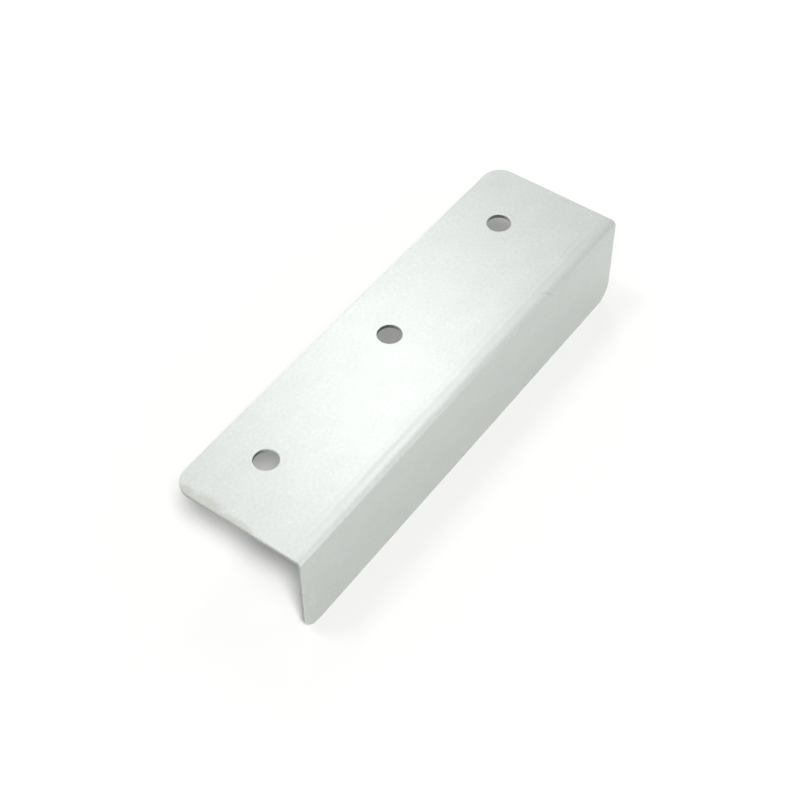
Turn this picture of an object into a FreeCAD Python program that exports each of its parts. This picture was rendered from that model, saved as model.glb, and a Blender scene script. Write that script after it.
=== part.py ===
# Reservoir bracket: one strip of 1.2 mm aluminium sheet, pierced with a line of bolt holes and folded once
# to a right angle. The wide flange lies level and carries the holes, the narrow flange hangs from it.
#
# Frame, in millimetres: the origin is the centre of the middle bolt hole, on the wide flange's outer face.
# +X runs along the fold, +Y from the fold to the wide flange's free edge, +Z out of its outer face.

import FreeCAD, Part
import math
import os

import Sketcher

doc = FreeCAD.newDocument("ReservoirBracket")

# Driving dimensions

SIZES = [
    ("length", 138.0, "along the fold"),
    ("wide_flange", 39.5, "fold's outer face to the wide flange's free edge"),
    ("narrow_flange", 28.5, "wide flange's outer face to the narrow flange's free edge"),
    ("sheet_thickness", 1.2, "aluminium sheet"),
    ("inside_bend_radius", 0.4, "nose of the folding tool"),
    ("corner_radius", 5.5, "the four free corners of the sheet"),
    ("hole_diameter", 6.6, "clearance for a 6 mm bolt"),
    ("hole_count", 3, "bolt holes in one line"),
    ("hole_to_end", 19.0, "centre of the first and last hole to the sheet's short end"),
    ("hole_to_free_edge", 14.0, "centre line of the holes to the wide flange's free edge"),
    ("edge_break", 0.15, "rounding of the sheared outline, both faces"),
    ("hole_edge_break", 0.1, "rounding of the pierced holes' rims, both faces"),
]

sizes = doc.addObject("Spreadsheet::Sheet", "Sizes")
for row, (name, value, meaning) in enumerate(SIZES, start=1):
    sizes.set(f"A{row}", name)
    sizes.set(f"B{row}", str(value))
    sizes.set(f"C{row}", meaning)
    sizes.setAlias(f"B{row}", name)
doc.recompute()

OUTSIDE_BEND_RADIUS = "(Sizes.inside_bend_radius + Sizes.sheet_thickness)"

# An edge is sharp, and not a smooth join of two faces, where their normals differ by more than this
SHARP_DEGREES = 30.0


def new_sketch(body, name, plane_role):
    """A sketch of the body on one of its own origin planes."""
    plane = next(item for item in body.Origin.OriginFeatures if item.Role == plane_role)
    sketch = body.newObject("Sketcher::SketchObject", name)
    sketch.AttachmentSupport = [(plane, "")]
    sketch.MapMode = "FlatFace"
    return sketch


def bind(sketch, name, constraint, expression):
    """Add a dimension to the sketch, name it and tie it to the sheet."""
    index = sketch.addConstraint(constraint)
    sketch.renameConstraint(index, name)
    sketch.setExpression(f"Constraints.{name}", expression)


def line(sketch, start, end):
    segment = Part.LineSegment(FreeCAD.Vector(*start, 0), FreeCAD.Vector(*end, 0))
    return sketch.addGeometry(segment, False)


def arc(sketch, centre, radius, start_degrees, end_degrees):
    circle = Part.Circle(FreeCAD.Vector(*centre, 0), FreeCAD.Vector(0, 0, 1), radius)
    piece = Part.ArcOfCircle(circle, math.radians(start_degrees), math.radians(end_degrees))
    return sketch.addGeometry(piece, False)


def edge_names(shape, wanted):
    """Names of the shape's edges that the test picks."""
    return [f"Edge{number}" for number, edge in enumerate(shape.Edges, start=1) if wanted(edge)]


def is_sharp(shape, edge):
    """True where the two faces at the edge meet at an angle, and don't run smoothly into each other."""
    faces = shape.ancestorsOfType(edge, Part.Face)
    if len(faces) != 2:
        return False
    middle = edge.valueAt((edge.FirstParameter + edge.LastParameter) / 2)
    normals = [face.normalAt(*face.Surface.parameter(middle)) for face in faces]
    return math.degrees(normals[0].getAngle(normals[1])) > SHARP_DEGREES


def along(edge, axis):
    """True for a straight edge that runs along the axis."""
    if not isinstance(edge.Curve, Part.Line):
        return False
    return abs(edge.Curve.Direction.dot(axis)) > math.cos(math.radians(1.0))


def round_edges(body, name, base, edges, radius_alias):
    """Round the named edges of the base feature with a radius from the sheet."""
    rounding = body.newObject("PartDesign::Fillet", name)
    rounding.Base = (base, edges)
    rounding.setExpression("Radius", f"Sizes.{radius_alias}")
    doc.recompute()
    return rounding


# The folded strip: its section across the fold, extruded both ways along the fold.
# In the section sketch, the first coordinate is Y and the second is Z.

body = doc.addObject("PartDesign::Body", "bracket")
body.Label = "bracket"

thickness = sizes.sheet_thickness
inner = sizes.inside_bend_radius
outer = inner + thickness
free_edge = sizes.hole_to_free_edge
fold = free_edge - sizes.wide_flange
foot = -sizes.narrow_flange
bend_centre = (fold + outer, -outer)

section = new_sketch(body, "section", "YZ_Plane")
top = line(section, (free_edge, 0), (fold + outer, 0))
outer_bend = arc(section, bend_centre, outer, 90, 180)
front = line(section, (fold, -outer), (fold, foot))
bottom = line(section, (fold, foot), (fold + thickness, foot))
back = line(section, (fold + thickness, foot), (fold + thickness, -outer))
inner_bend = arc(section, bend_centre, inner, 90, 180)
underside = line(section, (fold + outer, -thickness), (free_edge, -thickness))
rim = line(section, (free_edge, -thickness), (free_edge, 0))

START, END, CENTRE = 1, 2, 3
ORIGIN = (-1, 1)

for first, first_point, second, second_point in [
    (top, END, outer_bend, START),
    (outer_bend, END, front, START),
    (back, END, inner_bend, END),
    (inner_bend, START, underside, START),
]:
    section.addConstraint(Sketcher.Constraint("Tangent", first, first_point, second, second_point))
for first, second in [(front, bottom), (bottom, back), (underside, rim)]:
    section.addConstraint(Sketcher.Constraint("Coincident", first, END, second, START))
section.addConstraint(Sketcher.Constraint("Coincident", rim, END, top, START))
section.addConstraint(Sketcher.Constraint("Coincident", outer_bend, CENTRE, inner_bend, CENTRE))
for level in (top, bottom, underside):
    section.addConstraint(Sketcher.Constraint("Horizontal", level))
for upright in (front, back, rim):
    section.addConstraint(Sketcher.Constraint("Vertical", upright))
section.addConstraint(Sketcher.Constraint("PointOnObject", top, START, -1))

bind(section, "outside_bend", Sketcher.Constraint("Radius", outer_bend, outer), OUTSIDE_BEND_RADIUS)
bind(section, "inside_bend", Sketcher.Constraint("Radius", inner_bend, inner), "Sizes.inside_bend_radius")
bind(
    section,
    "free_edge",
    Sketcher.Constraint("DistanceX", *ORIGIN, top, START, free_edge),
    "Sizes.hole_to_free_edge",
)
bind(
    section,
    "wide_flange",
    Sketcher.Constraint("DistanceX", front, START, top, START, free_edge - fold),
    "Sizes.wide_flange",
)
bind(
    section,
    "narrow_flange",
    Sketcher.Constraint("DistanceY", front, END, top, START, -foot),
    "Sizes.narrow_flange",
)

strip = body.newObject("PartDesign::Pad", "folded_strip")
strip.Profile = section
strip.SideType = "Symmetric"
strip.setExpression("Length", "Sizes.length")
doc.recompute()

# The bolt holes: the first one is pierced at the near end, and repeated along the fold

first_hole_x = sizes.hole_to_end - sizes.length / 2

hole_centre = new_sketch(body, "hole_centre", "XY_Plane")
mark = hole_centre.addGeometry(
    Part.Circle(FreeCAD.Vector(first_hole_x, 0, 0), FreeCAD.Vector(0, 0, 1), sizes.hole_diameter / 2), False
)
hole_centre.addConstraint(Sketcher.Constraint("PointOnObject", mark, CENTRE, -1))
bind(hole_centre, "bore", Sketcher.Constraint("Diameter", mark, sizes.hole_diameter), "Sizes.hole_diameter")
bind(
    hole_centre,
    "first_hole",
    Sketcher.Constraint("DistanceX", mark, CENTRE, *ORIGIN, -first_hole_x),
    "Sizes.length / 2 - Sizes.hole_to_end",
)
doc.recompute()

bolt_hole = body.newObject("PartDesign::Hole", "bolt_hole")
bolt_hole.Profile = hole_centre
bolt_hole.DepthType = "ThroughAll"
bolt_hole.setExpression("Diameter", "Sizes.hole_diameter")
doc.recompute()

hole_line = body.newObject("PartDesign::LinearPattern", "hole_line")
hole_line.Originals = [bolt_hole]
hole_line.Direction = (hole_centre, ["H_Axis"])
hole_line.setExpression("Length", "Sizes.length - 2 * Sizes.hole_to_end")
hole_line.setExpression("Occurrences", "Sizes.hole_count")
body.Tip = hole_line
doc.recompute()

# The sheet's four free corners, notched round before folding


def at_free_corner(edge):
    """True for the edges that run through the sheet at the corners away from the fold."""
    point = edge.CenterOfMass
    if along(edge, FreeCAD.Vector(0, 0, 1)):
        return abs(point.y - free_edge) < thickness / 2 and abs(point.x) > sizes.length / 2 - thickness
    if along(edge, FreeCAD.Vector(0, 1, 0)):
        return abs(point.z - foot) < thickness / 2 and edge.Length < 2 * thickness
    return False


corners = round_edges(
    body,
    "round_corners",
    hole_line,
    edge_names(hole_line.Shape, at_free_corner),
    "corner_radius",
)

# Edges left by the punch and the shear are broken, so that they don't cut a hand or a hose


def is_hole_rim(edge):
    return isinstance(edge.Curve, Part.Circle) and abs(edge.Curve.Radius - sizes.hole_diameter / 2) < 1e-6


hole_rims = round_edges(
    body,
    "hole_rims",
    corners,
    edge_names(corners.Shape, lambda edge: is_sharp(corners.Shape, edge) and is_hole_rim(edge)),
    "hole_edge_break",
)
outline_rims = round_edges(
    body,
    "outline_rims",
    hole_rims,
    edge_names(hole_rims.Shape, lambda edge: is_sharp(hole_rims.Shape, edge)),
    "edge_break",
)
body.Tip = outline_rims
doc.recompute()

# Check the document, then write the part

for item in doc.Objects:
    if "Invalid" in item.State or "Error" in item.State:
        raise RuntimeError(f"{item.Name} failed: {item.State}")
for sketch in (section, hole_centre):
    if not sketch.FullyConstrained:
        raise RuntimeError(f"{sketch.Name} isn't fully constrained")
if body.Shape.isNull() or not body.Shape.isValid() or len(body.Shape.Solids) != 1:
    raise RuntimeError("the bracket isn't one valid solid")

os.makedirs("parts", exist_ok=True)
body.Shape.exportStep(f"parts/{body.Label}.step")

box = body.Shape.optimalBoundingBox(False)
print(f"bracket: {box.XLength:.2f} x {box.YLength:.2f} x {box.ZLength:.2f} mm, {body.Shape.Volume:.1f} mm3")
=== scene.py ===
import math

import bpy
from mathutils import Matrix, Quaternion, Vector


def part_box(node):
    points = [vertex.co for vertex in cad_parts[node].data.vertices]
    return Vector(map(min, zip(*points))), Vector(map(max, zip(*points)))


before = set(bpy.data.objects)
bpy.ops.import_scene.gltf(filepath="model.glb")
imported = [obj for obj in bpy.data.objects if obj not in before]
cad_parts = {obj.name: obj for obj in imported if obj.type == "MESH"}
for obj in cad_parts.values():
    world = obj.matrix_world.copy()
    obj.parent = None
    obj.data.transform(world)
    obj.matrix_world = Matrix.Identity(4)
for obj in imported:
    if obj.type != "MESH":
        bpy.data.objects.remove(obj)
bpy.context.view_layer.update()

# The folded strip
# One strip of aluminium sheet, sheared to size, pierced with three bolt holes and folded square on a press
# brake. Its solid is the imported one. This section finds where each point lay on the flat blank, in
# millimetres, because the marks that rolling, shearing and folding left all follow the blank.

MM = 0.001
SHEET = 1.2
INSIDE_BEND = 0.4
OUTSIDE_BEND = INSIDE_BEND + SHEET
BEND_ARC = OUTSIDE_BEND * math.pi / 2

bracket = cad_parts["bracket"]
low, high = (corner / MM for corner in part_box("bracket"))
BEND_Y = low.y + OUTSIDE_BEND
BEND_Z = high.z - OUTSIDE_BEND

MATH = "ShaderNodeMath"
VECTOR_MATH = "ShaderNodeVectorMath"
MAP_RANGE = "ShaderNodeMapRange"


def add_node(tree, kind, inputs=(), **settings):
    """Adds a node, fills its sockets with values or links, and returns its first output where it has one."""
    node = tree.nodes.new(kind)
    for name, value in settings.items():
        setattr(node, name, value)
    for socket, source in dict(inputs).items():
        if isinstance(source, bpy.types.NodeSocket):
            tree.links.new(source, node.inputs[socket])
        else:
            node.inputs[socket].default_value = source
    return next(iter(node.outputs), None)


aluminium = bpy.data.materials.new("mill_finish_aluminium")
aluminium.use_nodes = True
metal = aluminium.node_tree
metal.nodes.clear()

in_metres = add_node(metal, "ShaderNodeTexCoord").node.outputs["Object"]
place = add_node(metal, VECTOR_MATH, {0: in_metres, "Scale": 1 / MM}, operation="SCALE")
along, place_y, place_z = add_node(metal, "ShaderNodeSeparateXYZ", {0: place}).node.outputs

# Inward is above zero on the wide flange, and upward is below zero on the narrow one. The bend lies between.
inward = add_node(metal, MATH, {0: place_y, 1: BEND_Y}, operation="SUBTRACT")
upward = add_node(metal, MATH, {0: place_z, 1: BEND_Z}, operation="SUBTRACT")
on_wide = add_node(metal, MATH, {0: inward, 1: 0.0}, operation="MAXIMUM")
on_narrow = add_node(metal, MATH, {0: upward, 1: 0.0}, operation="MINIMUM")
outward = add_node(metal, MATH, {0: on_wide, 1: inward}, operation="SUBTRACT")
above = add_node(metal, MATH, {0: upward, 1: on_narrow}, operation="SUBTRACT")
turn = add_node(metal, MATH, {0: outward, 1: above}, operation="ARCTAN2")
flat = add_node(metal, MATH, {0: on_wide, 1: on_narrow}, operation="ADD")

# Across is zero where the wide flange ends, above zero on it, and below zero over the bend and beyond
across = add_node(metal, MATH, {0: turn, 1: -OUTSIDE_BEND, 2: flat}, operation="MULTIPLY_ADD")
blank = add_node(metal, "ShaderNodeCombineXYZ", {0: along, 1: across})

# Depth is zero on the outer face and the sheet's thickness on the inner one
arm = add_node(metal, "ShaderNodeCombineXYZ", {0: outward, 1: above})
arm_length = add_node(metal, VECTOR_MATH, {0: arm}, operation="LENGTH").node.outputs["Value"]
depth = add_node(metal, MATH, {0: OUTSIDE_BEND, 1: arm_length}, operation="SUBTRACT")
inner_face = add_node(metal, MATH, {0: depth, 1: SHEET / 2}, operation="GREATER_THAN")
outer_face = add_node(metal, MATH, {0: 1.0, 1: inner_face}, operation="SUBTRACT")

# Mill finish
# Aluminium sheet as it leaves the rolling mill, with no coating and no polish. It gives the eye a pale satin
# metal, slightly green, with a fine mottle from the worn rolls, soft broad patches and faint rolling lines.

MILL_COLOUR = "#C8CCC9"
MILL_ROUGHNESS = 0.35
MOTTLE_ROUGHNESS = 0.06

# Lengths, widths and heights are in millimetres, and shades are shares of the metal's brightness.
# Real rolling lines are about 0.05 mm wide. That is too fine to show, so they are drawn coarser.
GRAINS = {
    "mottle": {"length": 1.1, "width": 0.7, "detail": 2.0, "shade": 0.16, "height": 0.004},
    "patches": {"length": 9.0, "width": 6.0, "detail": 1.0, "shade": 0.06, "height": 0.0},
    "rolling_lines": {"length": 45.0, "width": 0.35, "detail": 2.0, "shade": 0.03, "height": 0.001},
}


def linear(hex_colour):
    """An sRGB hex colour as linear red, green and blue."""
    channels = [int(hex_colour[start : start + 2], 16) / 255 for start in (1, 3, 5)]
    return [c / 12.92 if c <= 0.04045 else ((c + 0.055) / 1.055) ** 2.4 for c in channels]


shade = 1.0
height = 0.0
grain = {}
for name, look in GRAINS.items():
    shrink = (1 / look["length"], 1 / look["width"], 1.0)
    grain_place = add_node(metal, VECTOR_MATH, {0: blank, 1: shrink}, operation="MULTIPLY")
    grain[name] = add_node(
        metal,
        "ShaderNodeTexNoise",
        {"Vector": grain_place, "Scale": 1.0, "Detail": look["detail"]},
        noise_dimensions="2D",
    )
    swing = add_node(
        metal,
        MATH,
        {0: grain[name], 1: look["shade"], 2: 1 - look["shade"] / 2},
        operation="MULTIPLY_ADD",
    )
    shade = add_node(metal, MATH, {0: shade, 1: swing}, operation="MULTIPLY")
    height = add_node(metal, MATH, {0: grain[name], 1: look["height"], 2: height}, operation="MULTIPLY_ADD")

roughness = add_node(
    metal,
    MATH,
    {0: grain["mottle"], 1: MOTTLE_ROUGHNESS, 2: MILL_ROUGHNESS - MOTTLE_ROUGHNESS / 2},
    operation="MULTIPLY_ADD",
)

# Marks of the fold
# The press brake's die drags on the outer face beside the bend and leaves dull lines parallel to it, and its
# punch leaves one where the inner bend ends on each side. The stretched skin of the bend is a little rougher.

# Places across the blank are in millimetres. Dull is the share of brightness that a line takes, and roughness
# gains as much. The first two die lines make one line, with a soft side towards the bend.
DIE_LINES = [
    {"across": 1.85, "half_width": 0.50, "dull": 0.045},
    {"across": 1.3, "half_width": 0.80, "dull": 0.035},
    {"across": 3.35, "half_width": 0.55, "dull": 0.03},
    {"across": -3.8, "half_width": 0.35, "dull": 0.03},
    {"across": -5.7, "half_width": 0.45, "dull": 0.015},
]
PUNCH_LINES = [
    {"across": 0.1, "half_width": 0.30, "dull": 0.08},
    {"across": -BEND_ARC - 0.1, "half_width": 0.30, "dull": 0.08},
]
LINE_DEPTH = 0.010
LINE_WANDER = 0.5

# Two levels of the mottle, and how strongly a line shows at each
LINE_BREAKS = {"From Min": 0.35, "From Max": 0.65, "To Min": 0.45, "To Max": 1.45}

# Millimetres from the short edges, where the lines are gone and where they are whole
LINE_GONE = 3.0
LINE_WHOLE = 14.0

STRETCHED_ROUGHNESS = 0.06
STRETCHED_PEEL = 0.012
STRETCH_FADE = 0.6

# Two turns of the surface, each between two places across the blank. Together they make the right angle.
BOW = {"starts": 1.8, "ends": -3.4, "degrees": 13.5}
TIGHT_BEND = {"starts": -0.65, "ends": -2.45, "degrees": 76.5}

FADES_OUT = {"To Min": 1.0, "To Max": 0.0}

wander = add_node(
    metal,
    MATH,
    {0: grain["patches"], 1: LINE_WANDER, 2: -LINE_WANDER / 2},
    operation="MULTIPLY_ADD",
)
wandering = add_node(metal, MATH, {0: across, 1: wander}, operation="ADD")
pressed = 0.0
for face, lines in ((outer_face, DIE_LINES), (inner_face, PUNCH_LINES)):
    for line in lines:
        off_line = add_node(metal, MATH, {0: wandering, 1: line["across"]}, operation="SUBTRACT")
        off_line = add_node(metal, MATH, {0: off_line}, operation="ABSOLUTE")
        dragged = add_node(
            metal,
            MAP_RANGE,
            {"Value": off_line, "From Max": line["half_width"], **FADES_OUT},
            interpolation_type="SMOOTHSTEP",
        )
        dragged = add_node(metal, MATH, {0: dragged, 1: face}, operation="MULTIPLY")
        pressed = add_node(metal, MATH, {0: dragged, 1: line["dull"], 2: pressed}, operation="MULTIPLY_ADD")

# The die bears unevenly along the fold, so its lines are broken up, and they fade out before the short edges
broken = add_node(metal, MAP_RANGE, {"Value": grain["mottle"], **LINE_BREAKS})
from_middle = add_node(metal, MATH, {0: along}, operation="ABSOLUTE")
inside_ends = add_node(
    metal,
    MAP_RANGE,
    {"Value": from_middle, "From Min": high.x - LINE_WHOLE, "From Max": high.x - LINE_GONE, **FADES_OUT},
    interpolation_type="SMOOTHSTEP",
)
pressed = add_node(metal, MATH, {0: pressed, 1: broken}, operation="MULTIPLY")
pressed = add_node(metal, MATH, {0: pressed, 1: inside_ends}, operation="MULTIPLY")

past_wide = add_node(
    metal,
    MAP_RANGE,
    {"Value": across, "From Min": 0.0, "From Max": -STRETCH_FADE},
    interpolation_type="SMOOTHSTEP",
)
past_narrow = add_node(
    metal,
    MAP_RANGE,
    {"Value": across, "From Min": -BEND_ARC, "From Max": STRETCH_FADE - BEND_ARC},
    interpolation_type="SMOOTHSTEP",
)
stretched = add_node(metal, MATH, {0: past_wide, 1: past_narrow}, operation="MULTIPLY")
stretched = add_node(metal, MATH, {0: stretched, 1: outer_face}, operation="MULTIPLY")

undulled = add_node(metal, MATH, {0: 1.0, 1: pressed}, operation="SUBTRACT")
shade = add_node(metal, MATH, {0: shade, 1: undulled}, operation="MULTIPLY")
roughness = add_node(
    metal,
    MATH,
    {0: stretched, 1: STRETCHED_ROUGHNESS, 2: roughness},
    operation="MULTIPLY_ADD",
)
roughness = add_node(metal, MATH, {0: pressed, 1: roughness}, operation="ADD")
height = add_node(metal, MATH, {0: pressed, 1: -LINE_DEPTH, 2: height}, operation="MULTIPLY_ADD")
peel = add_node(metal, MATH, {0: stretched, 1: grain["mottle"]}, operation="MULTIPLY")
height = add_node(metal, MATH, {0: peel, 1: STRETCHED_PEEL, 2: height}, operation="MULTIPLY_ADD")

# The sheet bows a little on both sides of the bend, so light turns over the fold more softly than over an arc
normal = add_node(metal, "ShaderNodeNewGeometry").node.outputs["Normal"]
bowed = 0.0
for part in (BOW, TIGHT_BEND):
    turned = add_node(
        metal,
        MAP_RANGE,
        {
            "Value": across,
            "From Min": part["starts"],
            "From Max": part["ends"],
            "To Max": math.radians(part["degrees"]),
        },
        interpolation_type="SMOOTHSTEP",
    )
    bowed = add_node(metal, MATH, {0: turned, 1: bowed}, operation="ADD")
bowed_up = add_node(metal, MATH, {0: bowed}, operation="COSINE")
bowed_out = add_node(metal, MATH, {0: bowed}, operation="SINE")
bowed_out = add_node(metal, MATH, {0: bowed_out, 1: -1.0}, operation="MULTIPLY")
bowed_normal = add_node(metal, "ShaderNodeCombineXYZ", {1: bowed_out, 2: bowed_up})
bowed_normal = add_node(
    metal,
    "ShaderNodeVectorTransform",
    {0: bowed_normal},
    vector_type="NORMAL",
    convert_from="OBJECT",
)
bow_middle = (BOW["starts"] + BOW["ends"]) / 2
bow_half_width = (BOW["starts"] - BOW["ends"]) / 2
off_bow = add_node(metal, MATH, {0: across, 1: bow_middle}, operation="SUBTRACT")
off_bow = add_node(metal, MATH, {0: off_bow}, operation="ABSOLUTE")
on_bow = add_node(metal, MATH, {0: off_bow, 1: bow_half_width}, operation="LESS_THAN")
on_bow = add_node(metal, MATH, {0: on_bow, 1: outer_face}, operation="MULTIPLY")

# Sheared and pierced edges
# The shear and the punch cut the sheet from its outer face. They burnish the first third of the thickness,
# and the rest tears off, so the eye finds a bright band above a darker, dull one with fine streaks.

# A point is on a cut edge where its normal looks out of the flanges by less than this
EDGE_LOOKS_OUT = 0.7

# Depths and streaks are in millimetres. Real streaks are about 0.05 mm wide. That is too fine to show, so
# they are drawn coarser.
BURNISHED = 0.4
BURNISHED_ROUGHNESS = 0.28
TORN_ROUGHNESS = 0.56
TORN_SHADE = 0.74
TEAR_WAVER = 0.5
TEAR_SOFTNESS = 0.05
STREAK_WIDTH = 0.16
STREAK_LENGTH = 3.0
STREAK_DETAIL = 2.0
STREAK_SHADE = 0.35
STREAK_HEIGHT = 0.012

off_wide = add_node(metal, MATH, {0: inward, 1: 0.0}, operation="LESS_THAN")
off_narrow = add_node(metal, MATH, {0: upward, 1: 0.0}, operation="GREATER_THAN")
facing = add_node(metal, "ShaderNodeCombineXYZ", {1: off_wide, 2: off_narrow})
kept_normal = add_node(metal, VECTOR_MATH, {0: normal, 1: facing}, operation="MULTIPLY")
looks_out = add_node(metal, VECTOR_MATH, {0: kept_normal}, operation="LENGTH").node.outputs["Value"]
cut_edge = add_node(metal, MATH, {0: looks_out, 1: EDGE_LOOKS_OUT}, operation="LESS_THAN")

through = add_node(metal, "ShaderNodeCombineXYZ", {0: along, 1: across, 2: depth})
streak_shrink = (1 / STREAK_WIDTH, 1 / STREAK_WIDTH, 1 / STREAK_LENGTH)
streak_place = add_node(metal, VECTOR_MATH, {0: through, 1: streak_shrink}, operation="MULTIPLY")
streaks = add_node(
    metal,
    "ShaderNodeTexNoise",
    {"Vector": streak_place, "Scale": 1.0, "Detail": STREAK_DETAIL},
)

wavering = add_node(metal, MATH, {0: grain["mottle"], 1: TEAR_WAVER, 2: depth}, operation="MULTIPLY_ADD")
tear_starts = BURNISHED + TEAR_WAVER / 2
torn = add_node(
    metal,
    MAP_RANGE,
    {"Value": wavering, "From Min": tear_starts - TEAR_SOFTNESS, "From Max": tear_starts + TEAR_SOFTNESS},
    interpolation_type="SMOOTHSTEP",
)
edge_roughness = add_node(
    metal,
    MATH,
    {0: torn, 1: TORN_ROUGHNESS - BURNISHED_ROUGHNESS, 2: BURNISHED_ROUGHNESS},
    operation="MULTIPLY_ADD",
)
edge_shade = add_node(metal, MATH, {0: torn, 1: TORN_SHADE - 1, 2: 1.0}, operation="MULTIPLY_ADD")
streaked = add_node(
    metal,
    MATH,
    {0: streaks, 1: STREAK_SHADE, 2: 1 - STREAK_SHADE / 2},
    operation="MULTIPLY_ADD",
)
edge_shade = add_node(metal, MATH, {0: edge_shade, 1: streaked}, operation="MULTIPLY")
edge_height = add_node(metal, MATH, {0: streaks, 1: STREAK_HEIGHT}, operation="MULTIPLY")

roughness = add_node(metal, "ShaderNodeMix", {"Factor": cut_edge, "A": roughness, "B": edge_roughness})
shade = add_node(metal, "ShaderNodeMix", {"Factor": cut_edge, "A": shade, "B": edge_shade})
height = add_node(metal, "ShaderNodeMix", {"Factor": cut_edge, "A": height, "B": edge_height})

# Handling marks and a darker edge band
# The near short edge has a darker, slightly warm band with a ragged inner side, a knock has left a short
# nick across the bend, and the narrow flange has three dark spots, a rubbed line and a few bright scuffs at
# its near end. All are on the outer face, and the nick's dent shows faintly inside the bend too.

# Places and sizes are in millimetres on the blank. Each darker patch lies at the short edge and reaches in
# from it.
# Fades are shares of a mark's own size, and flecks show between two levels of the noise.
# The band along the near short edge darkens the metal towards this colour
EDGE_DARKENING_COLOUR = "#EDEBE7"
EDGE_DARKENING_RAGGED = 0.3
EDGE_DARKENING_FADE = {"From Min": 0.6, "From Max": 1.25}
EDGE_DARKENINGS = [
    {"across": 33.4, "reach": 2.3, "half_length": 3.4},
    {"across": 27.2, "reach": 2.9, "half_length": 5.3},
    {"across": 18.1, "reach": 1.6, "half_length": 5.9},
]
SPOTS = [
    {"along": -1.7, "across": -11.0, "radius": 1.1, "dull": 0.045},
    {"along": -19.9, "across": -13.4, "radius": 1.0, "dull": 0.035},
    {"along": -23.6, "across": -21.0, "radius": 1.1, "dull": 0.04},
]
NICK_START = (34.7, 0.3, 0.0)
NICK_END = (38.3, -3.9, 0.0)
NICK_HALF_WIDTH = 0.45
NICK_DULL = 0.11
NICK_DEPTH = 0.02
RUBBED_ALONG = 41.0
RUBBED_HALF_WIDTH = 0.8
RUBBED_DULL = 0.02
SCUFFED = {"along": -66.2, "across": -17.4, "half_width": 1.6, "half_length": 6.0}
SCUFF_FADE = {"From Min": 0.5, "From Max": 1.0}
SCUFF_SIZE = 0.7
SCUFF_DETAIL = 1.0
SCUFF_BRIGHT = 0.16
FLECKS_SHOW = {"From Min": 0.55, "From Max": 0.68}

# The darker, slightly warm band along the near short edge, built from patches with ragged inner sides
ragged = add_node(
    metal,
    MATH,
    {0: grain["mottle"], 1: EDGE_DARKENING_RAGGED, 2: -EDGE_DARKENING_RAGGED / 2},
    operation="MULTIPLY_ADD",
)
edge_darkening = 0.0
for darker_patch in EDGE_DARKENINGS:
    darker_patch_centre = (low.x, darker_patch["across"], 0.0)
    darker_patch_radii = (darker_patch["reach"], darker_patch["half_length"], 1.0)
    from_darker_patch = add_node(metal, VECTOR_MATH, {0: blank, 1: darker_patch_centre}, operation="SUBTRACT")
    from_darker_patch = add_node(metal, VECTOR_MATH, {0: from_darker_patch, 1: darker_patch_radii}, operation="DIVIDE")
    off_darker_patch = add_node(metal, VECTOR_MATH, {0: from_darker_patch}, operation="LENGTH").node.outputs["Value"]
    off_darker_patch = add_node(metal, MATH, {0: off_darker_patch, 1: ragged}, operation="ADD")
    darker_fade = add_node(
        metal,
        MAP_RANGE,
        {"Value": off_darker_patch, **EDGE_DARKENING_FADE, **FADES_OUT},
        interpolation_type="SMOOTHSTEP",
    )
    edge_darkening = add_node(metal, MATH, {0: edge_darkening, 1: darker_fade}, operation="MAXIMUM")
edge_darkening = add_node(metal, MATH, {0: edge_darkening, 1: outer_face}, operation="MULTIPLY")
edge_darkening_loss = [channel - 1 for channel in linear(EDGE_DARKENING_COLOUR)]
edge_darkened = add_node(
    metal,
    VECTOR_MATH,
    {0: edge_darkening, 1: edge_darkening_loss, 2: (1.0, 1.0, 1.0)},
    operation="MULTIPLY_ADD",
)

worn = 0.0
for spot in SPOTS:
    spot_centre = (spot["along"], spot["across"], 0.0)
    off_spot = add_node(metal, VECTOR_MATH, {0: blank, 1: spot_centre}, operation="DISTANCE")
    off_spot = off_spot.node.outputs["Value"]
    dot = add_node(
        metal,
        MAP_RANGE,
        {"Value": off_spot, "From Max": spot["radius"], "To Min": spot["dull"], "To Max": 0.0},
        interpolation_type="SMOOTHSTEP",
    )
    worn = add_node(metal, MATH, {0: worn, 1: dot}, operation="ADD")

# The nick fades out with the distance from the nearest point of its middle line
nick_run = Vector(NICK_END) - Vector(NICK_START)
nick_share = nick_run / nick_run.length_squared
from_start = add_node(metal, VECTOR_MATH, {0: blank, 1: NICK_START}, operation="SUBTRACT")
nearest = add_node(metal, VECTOR_MATH, {0: from_start, 1: nick_share}, operation="DOT_PRODUCT")
nearest = nearest.node.outputs["Value"]
nearest = add_node(metal, MATH, {0: nearest, 1: 0.0}, operation="MAXIMUM")
nearest = add_node(metal, MATH, {0: nearest, 1: 1.0}, operation="MINIMUM")
nearest = add_node(metal, VECTOR_MATH, {0: tuple(nick_run), "Scale": nearest}, operation="SCALE")
off_nick = add_node(metal, VECTOR_MATH, {0: from_start, 1: nearest}, operation="DISTANCE")
off_nick = off_nick.node.outputs["Value"]
nick = add_node(
    metal,
    MAP_RANGE,
    {"Value": off_nick, "From Max": NICK_HALF_WIDTH, **FADES_OUT},
    interpolation_type="SMOOTHSTEP",
)
worn = add_node(metal, MATH, {0: nick, 1: NICK_DULL, 2: worn}, operation="MULTIPLY_ADD")
height = add_node(metal, MATH, {0: nick, 1: -NICK_DEPTH, 2: height}, operation="MULTIPLY_ADD")

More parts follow.
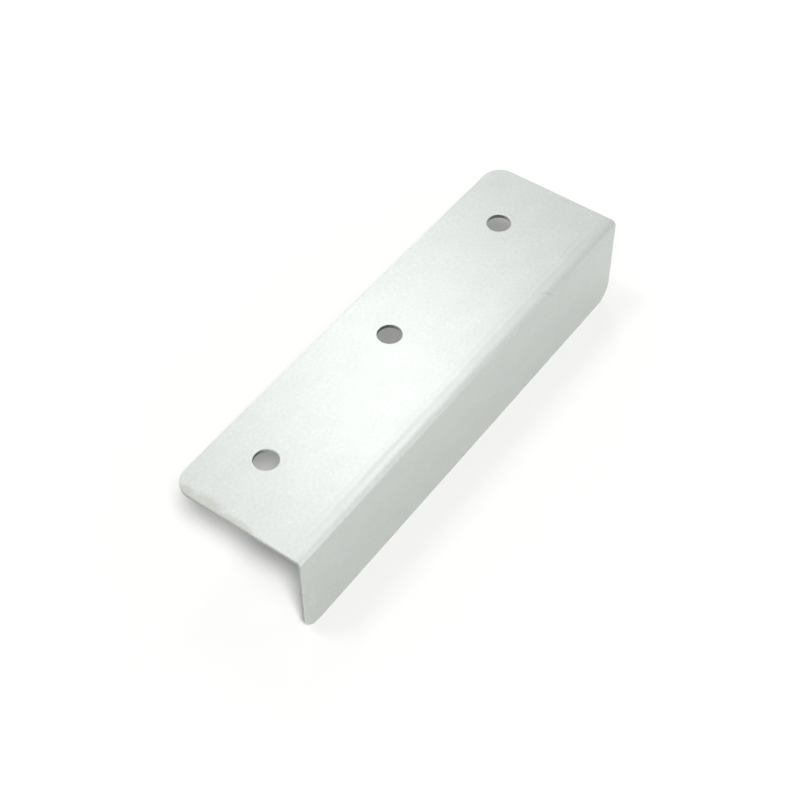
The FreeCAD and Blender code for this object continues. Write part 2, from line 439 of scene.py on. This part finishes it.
off_rub = add_node(metal, MATH, {0: along, 1: RUBBED_ALONG}, operation="SUBTRACT")
off_rub = add_node(metal, MATH, {0: off_rub}, operation="ABSOLUTE")
rubbed = add_node(
    metal,
    MAP_RANGE,
    {"Value": off_rub, "From Max": RUBBED_HALF_WIDTH, "To Min": RUBBED_DULL, "To Max": 0.0},
    interpolation_type="SMOOTHSTEP",
)
below_bend = add_node(metal, MATH, {0: across, 1: -BEND_ARC}, operation="LESS_THAN")
worn = add_node(metal, MATH, {0: rubbed, 1: below_bend, 2: worn}, operation="MULTIPLY_ADD")

scuff_centre = (SCUFFED["along"], SCUFFED["across"], 0.0)
scuff_radii = (SCUFFED["half_width"], SCUFFED["half_length"], 1.0)
from_scuff = add_node(metal, VECTOR_MATH, {0: blank, 1: scuff_centre}, operation="SUBTRACT")
from_scuff = add_node(metal, VECTOR_MATH, {0: from_scuff, 1: scuff_radii}, operation="DIVIDE")
off_scuff = add_node(metal, VECTOR_MATH, {0: from_scuff}, operation="LENGTH").node.outputs["Value"]
scuffed = add_node(metal, MAP_RANGE, {"Value": off_scuff, **SCUFF_FADE, **FADES_OUT})
fleck_place = add_node(metal, VECTOR_MATH, {0: blank, "Scale": 1 / SCUFF_SIZE}, operation="SCALE")
flecks = add_node(
    metal,
    "ShaderNodeTexNoise",
    {"Vector": fleck_place, "Scale": 1.0, "Detail": SCUFF_DETAIL},
)
flecks = add_node(metal, MAP_RANGE, {"Value": flecks, **FLECKS_SHOW})
flecks = add_node(metal, MATH, {0: flecks, 1: scuffed}, operation="MULTIPLY")
worn = add_node(metal, MATH, {0: flecks, 1: -SCUFF_BRIGHT, 2: worn}, operation="MULTIPLY_ADD")

worn = add_node(metal, MATH, {0: worn, 1: outer_face}, operation="MULTIPLY")
unworn = add_node(metal, MATH, {0: 1.0, 1: worn}, operation="SUBTRACT")
shade = add_node(metal, MATH, {0: shade, 1: unworn}, operation="MULTIPLY")

# The finished metal
# The mill's colour with all the marks, the light's softer turn over the fold and the fine relief come
# together here in one bare metal, and the whole strip is made of it.

colour = add_node(metal, VECTOR_MATH, {0: linear(MILL_COLOUR), "Scale": shade}, operation="SCALE")
colour = add_node(metal, VECTOR_MATH, {0: colour, 1: edge_darkened}, operation="MULTIPLY")

off_edge = add_node(metal, MATH, {0: 1.0, 1: cut_edge}, operation="SUBTRACT")
softened = add_node(metal, MATH, {0: on_bow, 1: off_edge}, operation="MULTIPLY")
normal_change = add_node(metal, VECTOR_MATH, {0: bowed_normal, 1: normal}, operation="SUBTRACT")
lit_normal = add_node(
    metal,
    VECTOR_MATH,
    {0: normal_change, 1: softened, 2: normal},
    operation="MULTIPLY_ADD",
)

# Heights are in millimetres, so the relief's full distance is one millimetre
relief = add_node(
    metal,
    "ShaderNodeBump",
    {"Strength": 1.0, "Distance": MM, "Height": height, "Normal": lit_normal},
)
surface = add_node(
    metal,
    "ShaderNodeBsdfPrincipled",
    {"Base Color": colour, "Metallic": 1.0, "Roughness": roughness, "Normal": relief},
)
add_node(metal, "ShaderNodeOutputMaterial", {"Surface": surface})
bracket.material_slots[0].material = aluminium

# The floor
# A plain sheet of matt white card, which takes the bracket's shadow. The lower edge of the narrow flange
# stands on it. The card's size is in metres.

FLOOR_SIZE = 8.0
FLOOR_COLOUR = "#F9F9F7"

bpy.ops.mesh.primitive_plane_add(size=FLOOR_SIZE, location=(0, 0, low.z * MM))
floor = bpy.context.object
floor.name = "floor"
card = bpy.data.materials.new("white_card")
card.use_nodes = True
card.node_tree.nodes.clear()
matte = add_node(card.node_tree, "ShaderNodeBsdfDiffuse", {"Color": (*linear(FLOOR_COLOUR), 1.0)})
add_node(card.node_tree, "ShaderNodeOutputMaterial", {"Surface": matte})
floor.data.materials.append(card)

# The light
# A pale studio. The large lamp stands far off over the near end, on the fold's side. It lights the floor
# evenly, and the metal doesn't mirror it. The side lamp gives the soft shadow in front of the narrow flange,
# and the small rear lamp the sheen across the wide one.

# Angles are in degrees, distances and sizes in metres, and powers in watts. An azimuth turns from the fold's
# far end towards the free edge.
LAMPS = {
    "large_lamp": {
        "azimuth": 227.4,
        "elevation": 59.2,
        "distance": 30.0,
        "size": 7.5,
        "power": 7550.0,
        "glossy": False,
    },
    "side_lamp": {
        "azimuth": 119.0,
        "elevation": 68.0,
        "distance": 30.0,
        "size": 6.0,
        "power": 860.0,
        "glossy": True,
    },
    "rear_lamp": {
        "azimuth": 36.6,
        "elevation": 50.7,
        "distance": 1.2,
        "size": 0.1,
        "power": 0.48,
        "glossy": True,
    },
}

# The room that the metal mirrors is brightest where a direction leans this far towards the fold's far end,
# and dims on both sides of that. The fold side has more contrast than the free edge's side.
BRIGHT_LEAN = 0.3
DIM_BY = 0.4
FOLD_SIDE = {"lean": -0.25, "bright": 2.3, "dim": 0.42}
FREE_SIDE = {"lean": 0.35, "bright": 1.17, "dim": 0.83}
ROOM_LIGHT = 0.25

world = bpy.data.worlds.new("pale_room")
world.use_nodes = True
room = world.node_tree
room.nodes.clear()
direction = add_node(room, "ShaderNodeTexCoord").node.outputs["Generated"]
lean = add_node(room, "ShaderNodeSeparateXYZ", {0: direction}).node.outputs
off_bright = add_node(room, MATH, {0: lean["X"], 1: BRIGHT_LEAN}, operation="SUBTRACT")
off_bright = add_node(room, MATH, {0: off_bright}, operation="ABSOLUTE")
fold_level, free_level = (
    add_node(
        room,
        MAP_RANGE,
        {"Value": off_bright, "From Max": DIM_BY, "To Min": side["bright"], "To Max": side["dim"]},
    )
    for side in (FOLD_SIDE, FREE_SIDE)
)
mirrored = add_node(
    room,
    MAP_RANGE,
    {
        "Value": lean["Y"],
        "From Min": FOLD_SIDE["lean"],
        "From Max": FREE_SIDE["lean"],
        "To Min": fold_level,
        "To Max": free_level,
    },
)

# The floor gets the room's even light, also by way of the metal. The camera finds the room white.
rays = add_node(room, "ShaderNodeLightPath").node.outputs
by_metal = add_node(
    room,
    MATH,
    {0: rays["Is Glossy Ray"], 1: rays["Is Transmission Ray"]},
    operation="MAXIMUM",
)
straight = add_node(room, MATH, {0: rays["Diffuse Depth"], 1: 1.0}, operation="LESS_THAN")
by_metal = add_node(room, MATH, {0: by_metal, 1: straight}, operation="MULTIPLY")
level = add_node(room, "ShaderNodeMix", {"Factor": by_metal, "A": ROOM_LIGHT, "B": mirrored})
level = add_node(room, "ShaderNodeMix", {"Factor": rays["Is Camera Ray"], "A": level, "B": 1.0})
walls = add_node(room, "ShaderNodeBackground", {"Color": (1.0, 1.0, 1.0, 1.0), "Strength": level})
add_node(room, "ShaderNodeOutputWorld", {"Surface": walls})
bpy.context.scene.world = world


def towards(azimuth, elevation):
    """A direction as a unit vector, from its angles in degrees."""
    turned = math.radians(azimuth)
    raised = math.radians(elevation)
    level_share = math.cos(raised)
    return Vector((level_share * math.cos(turned), level_share * math.sin(turned), math.sin(raised)))


for name, stand in LAMPS.items():
    light = bpy.data.lights.new(name, "AREA")
    light.size = stand["size"]
    light.energy = stand["power"]
    lamp = bpy.data.objects.new(name, light)
    bpy.context.scene.collection.objects.link(lamp)
    outwards = towards(stand["azimuth"], stand["elevation"])
    lamp.location = outwards * stand["distance"]
    lamp.rotation_mode = "QUATERNION"
    lamp.rotation_quaternion = outwards.to_track_quat("Z", "Y")
    lamp.visible_glossy = stand["glossy"]

# The camera
# It looks down the length of the bracket from its near end, over the fold, with the photograph's long lens.
# Angles are in degrees, with the azimuth as for the lamps, and distances in millimetres.

LOOK_AZIMUTH = 36.28
LOOK_DOWN = 49.80
ROLL = 0.49
DISTANCE = 409.9
AIM = (-16.2, -15.0, 0.0)
LENS = 75.0
NEAREST_SEEN = 10.0

looking = towards(LOOK_AZIMUTH, -LOOK_DOWN)
camera = bpy.data.objects.new("camera", bpy.data.cameras.new("camera"))
bpy.context.scene.collection.objects.link(camera)
camera.data.lens = LENS
camera.data.clip_start = NEAREST_SEEN * MM
camera.location = (Vector(AIM) - looking * DISTANCE) * MM
camera.rotation_mode = "QUATERNION"
camera.rotation_quaternion = Quaternion(looking, math.radians(ROLL)) @ looking.to_track_quat("-Z", "Y")
bpy.context.scene.camera = camera
bpy.context.scene.view_settings.view_transform = "Standard"
